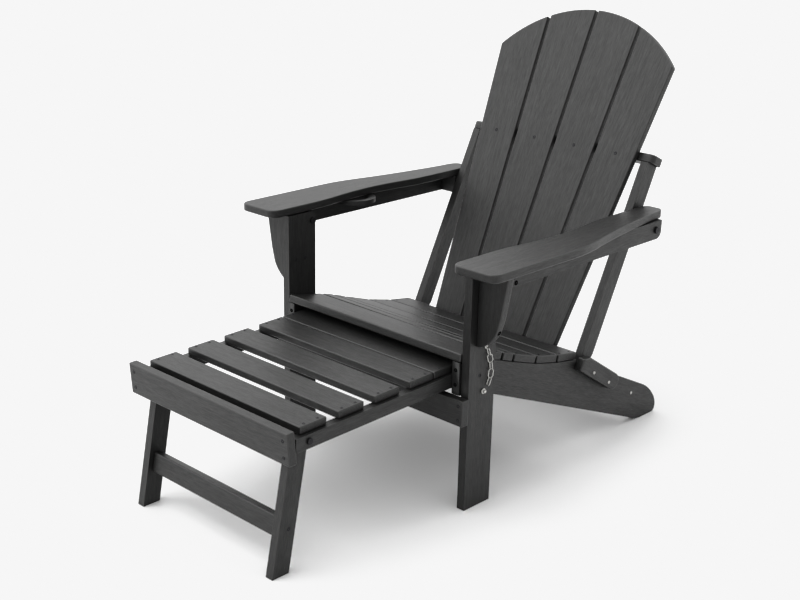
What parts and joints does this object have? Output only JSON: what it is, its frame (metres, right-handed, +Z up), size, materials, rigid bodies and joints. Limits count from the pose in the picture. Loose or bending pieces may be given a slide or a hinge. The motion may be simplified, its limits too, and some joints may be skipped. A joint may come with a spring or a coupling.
{
  "type": "adirondack chair",
  "caption": "Folding slatted garden armchair with fanned back, curved arms, swing-out cup holder and a slide-in footrest on folding legs.",
  "frame": {"origin": "middle of the whole chair's footprint with the footrest out, on the floor", "axes": "+Z up, +Y towards the back of the chair, +X to the viewer's right when facing the chair from behind the footrest; the sitter faces -Y"},
  "size_m": [0.76, 1.2576, 0.9656],
  "materials": {
    "lumber": "charcoal resin lumber with a fine embossed wood grain, satin",
    "steel": "bright stainless steel"
  },
  "bodies": {
    "seat": {"stringer_left": "lumber", "stringer_right": "lumber", "seat_slat_front": "lumber", "seat_slat_narrow_1": "lumber", "seat_slat_narrow_2": "lumber", "seat_slat_wide_1": "lumber", "seat_slat_wide_2": "lumber", "seat_slat_rear": "lumber", "seat_stretcher_rear": "lumber", "back_cleat_left": "lumber", "back_cleat_right": "lumber", "back_pivot_pin_left": "steel", "back_pivot_pin_right": "steel", "leg_pivot_pin_left": "steel", "leg_pivot_pin_right": "steel", "footrest_ledger_left": "lumber", "footrest_ledger_right": "lumber"},
    "legs": {"front_leg_left": "lumber", "front_leg_right": "lumber", "front_crossbar": "lumber", "arm_bracket_left": "lumber", "arm_bracket_right": "lumber", "arm_front_bolt_left": "steel", "arm_front_bolt_right": "steel"},
    "arms": {"arm_left": "lumber", "arm_right": "lumber", "arm_rail_left": "lumber", "arm_rail_right": "lumber", "arm_rear_spacer_left": "lumber", "arm_rear_spacer_right": "lumber", "arm_rear_bolt_left": "steel", "arm_rear_bolt_right": "steel", "cup_pivot_bolt": "steel"},
    "cup_holder": {"cup_holder": "lumber"},
    "back": {"back_slat_1": "lumber", "back_slat_2": "lumber", "back_slat_3": "lumber", "back_slat_4": "lumber", "back_crosspiece_top": "lumber", "back_rail_lower": "lumber", "back_upright_left": "lumber", "back_upright_right": "lumber"},
    "footrest_glide": {"ottoman_glide_bar": "steel"},
    "footrest": {"ottoman_rail_left": "lumber", "ottoman_rail_right": "lumber", "ottoman_fascia": "lumber", "ottoman_slat_1": "lumber", "ottoman_slat_2": "lumber", "ottoman_slat_3": "lumber", "ottoman_slat_4": "lumber", "ottoman_slat_5": "lumber", "ottoman_leg_bolt_left": "steel", "ottoman_leg_bolt_right": "steel"},
    "footrest_legs": {"ottoman_leg_left": "lumber", "ottoman_leg_right": "lumber", "ottoman_leg_stretcher": "lumber"},
    "lock_pin_left": {"lock_pin_left": "steel"},
    "lock_pin_right": {"lock_pin_right": "steel"},
    "lock_chain_left": {"lock_chain_left": "steel"},
    "lock_chain_right": {"lock_chain_right": "steel"}
  },
  "joints": [
    {"name": "back_fold", "type": "hinge", "parent": "seat", "child": "back", "pos_m": [0, 0.287, 0.216], "axis": [1, 0, 0], "range_deg": [0, 25]},
    {"name": "leg_fold", "type": "hinge", "parent": "seat", "child": "legs", "pos_m": [0, -0.116, 0.302], "axis": [1, 0, 0], "range_deg": [0, 37.3]},
    {"name": "arm_fold", "type": "hinge", "parent": "legs", "child": "arms", "pos_m": [0, -0.077, 0.514], "axis": [1, 0, 0], "range_deg": [-31.6, 0]},
    {"name": "cup_holder_swing", "type": "hinge", "parent": "arms", "child": "cup_holder", "pos_m": [-0.35, 0.135, 0.529], "axis": [0, 0, -1], "range_deg": [0, 120]},
    {"name": "footrest_slide", "type": "slide", "parent": "seat", "child": "footrest_glide", "axis": [0, 0.9578, -0.2873], "range_m": [0, 0.2]},
    {"name": "footrest_tilt", "type": "hinge", "parent": "footrest_glide", "child": "footrest", "pos_m": [0, -0.105, 0.2884], "axis": [1, 0, 0], "range_deg": [-17.4, 0]},
    {"name": "footrest_leg_fold", "type": "hinge", "parent": "footrest", "child": "footrest_legs", "pos_m": [0, -0.5535, 0.279], "axis": [1, 0, 0], "range_deg": [0, 68]},
    {"name": "lock_pin_left_slide", "type": "slide", "parent": "legs", "child": "lock_pin_left", "axis": [-1, 0, 0], "range_m": [0, 0.035]},
    {"name": "lock_chain_left_swing", "type": "hinge", "parent": "legs", "child": "lock_chain_left", "pos_m": [-0.2916, -0.098, 0.36], "axis": [0, 1, 0], "range_deg": [0, 20.2]},
    {"name": "lock_pin_right_slide", "type": "slide", "parent": "legs", "child": "lock_pin_right", "axis": [1, 0, 0], "range_m": [0, 0.035]},
    {"name": "lock_chain_right_swing", "type": "hinge", "parent": "legs", "child": "lock_chain_right", "pos_m": [0.2916, -0.098, 0.36], "axis": [0, -1, 0], "range_deg": [0, 20.2]}
  ],
  "couplings": [
    {"joint": "leg_fold", "follows": "back_fold", "ratio": 1.484},
    {"joint": "arm_fold", "follows": "back_fold", "ratio": -1.254},
    {"joint": "footrest_tilt", "follows": "footrest_slide", "rad_per_m": -1.5},
    {"joint": "lock_chain_left_swing", "follows": "lock_pin_left_slide", "rad_per_m": 10},
    {"joint": "lock_chain_right_swing", "follows": "lock_pin_right_slide", "rad_per_m": 10}
  ]
}
